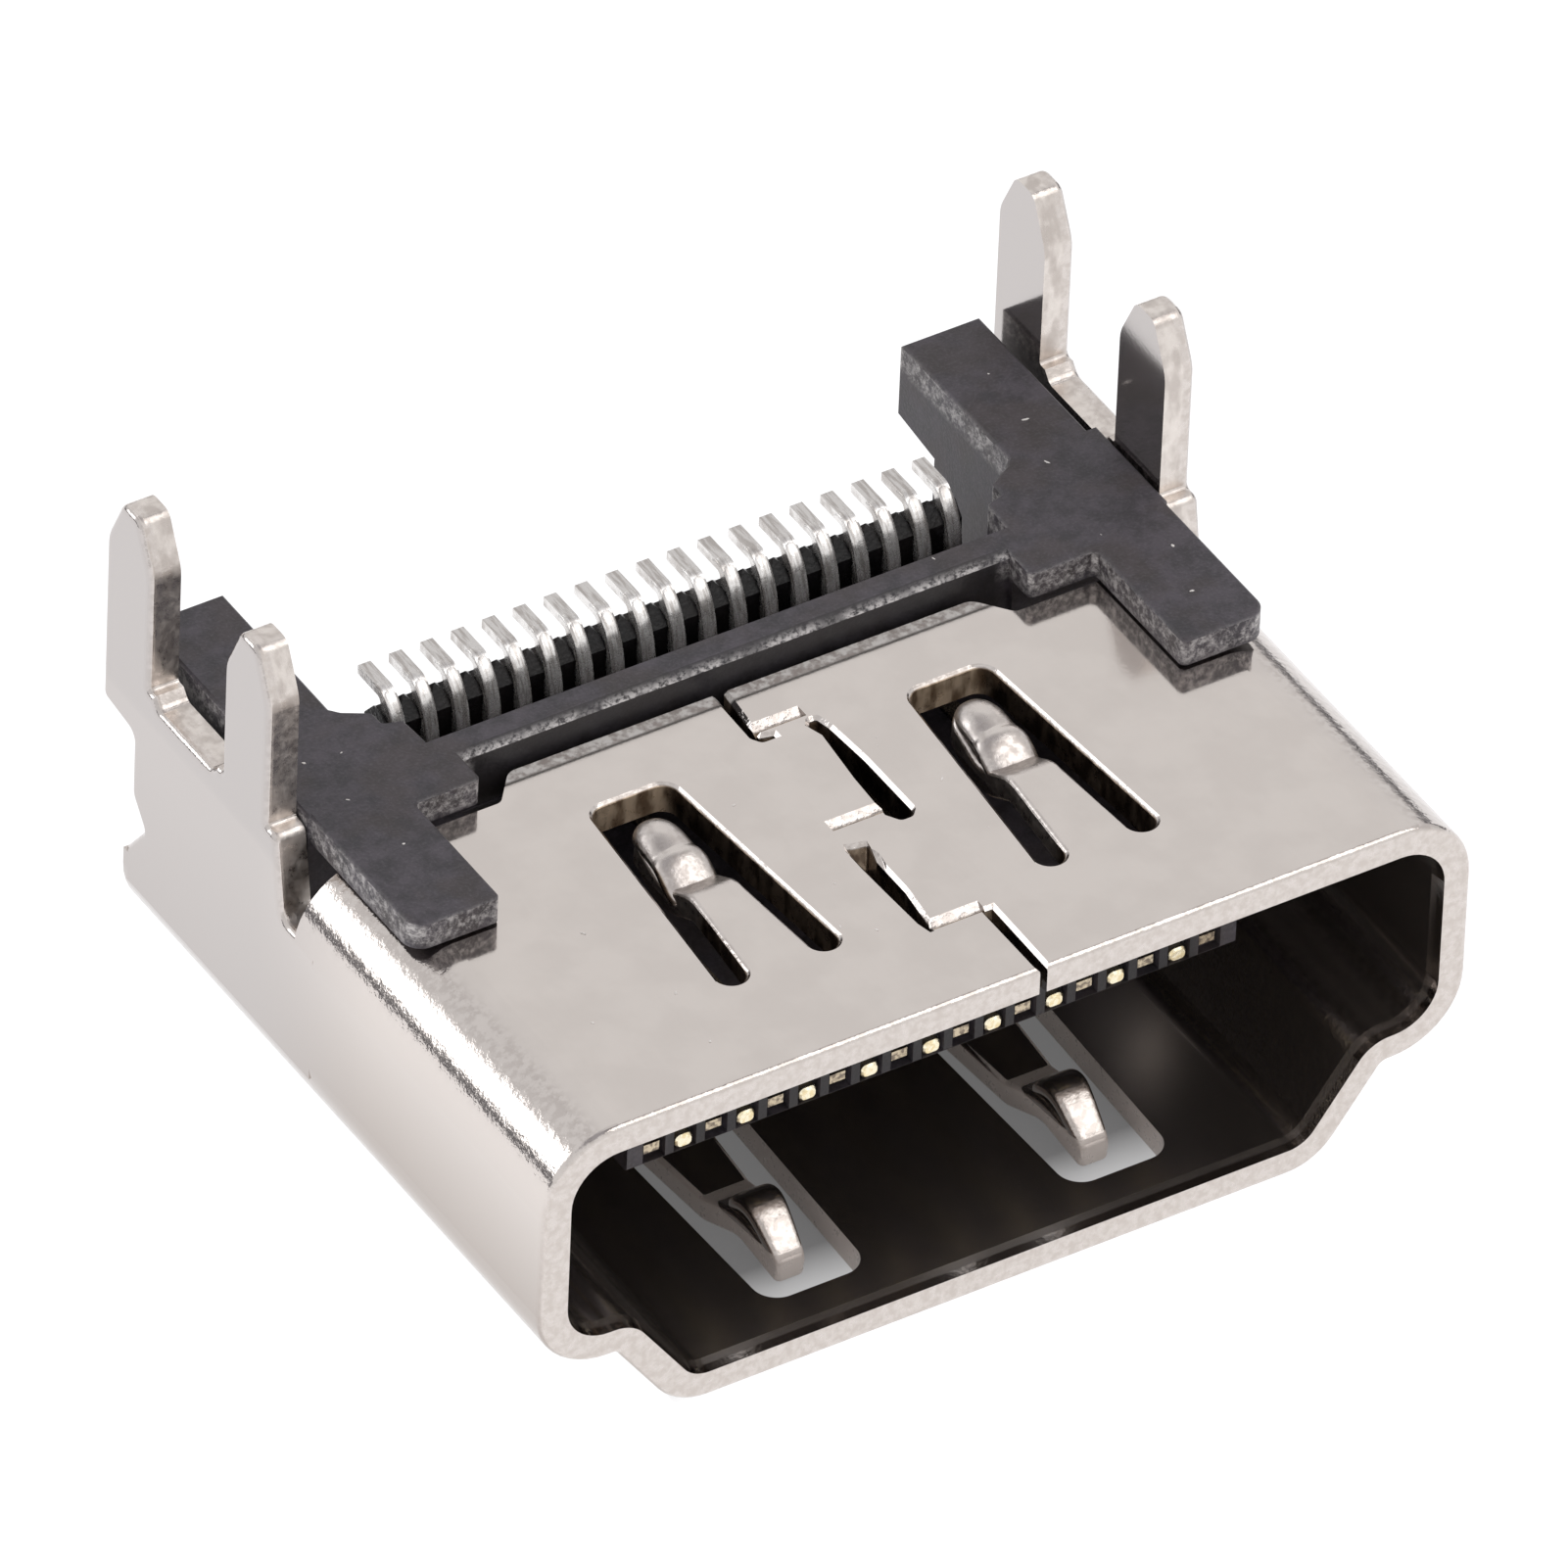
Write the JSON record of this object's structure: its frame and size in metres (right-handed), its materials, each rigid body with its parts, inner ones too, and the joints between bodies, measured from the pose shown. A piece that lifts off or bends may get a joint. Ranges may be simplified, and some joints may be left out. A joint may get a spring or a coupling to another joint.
{
  "type": "hdmi socket",
  "caption": "Right-angle video socket for a circuit board: folded metal shell with solder legs, spring fingers and dovetail seam, black moulded housing and a row of contacts.",
  "frame": {"origin": "middle of the mouth's front edge, on the outer face of the shell's narrow wall", "axes": "+X across the mouth to the right, +Y from the mouth to the rear, +Z from the narrow wall up to the circuit board's side"},
  "size_m": [0.015, 0.0119, 0.0088],
  "materials": {
    "shell": "satin nickel plate",
    "housing": "matte moulded",
    "comb": "glossy moulded",
    "contacts": "tin plated tails, gold flashed tips"
  },
  "bodies": {
    "root": {"shell": "shell", "housing": "housing", "tail_comb": "comb", "contact_01": "contacts", "contact_02": "contacts", "contact_03": "contacts", "contact_04": "contacts", "contact_05": "contacts", "contact_06": "contacts", "contact_07": "contacts", "contact_08": "contacts", "contact_09": "contacts", "contact_10": "contacts", "contact_11": "contacts", "contact_12": "contacts", "contact_13": "contacts", "contact_14": "contacts", "contact_15": "contacts", "contact_16": "contacts", "contact_17": "contacts", "contact_18": "contacts", "contact_19": "contacts"}
  },
  "joints": []
}
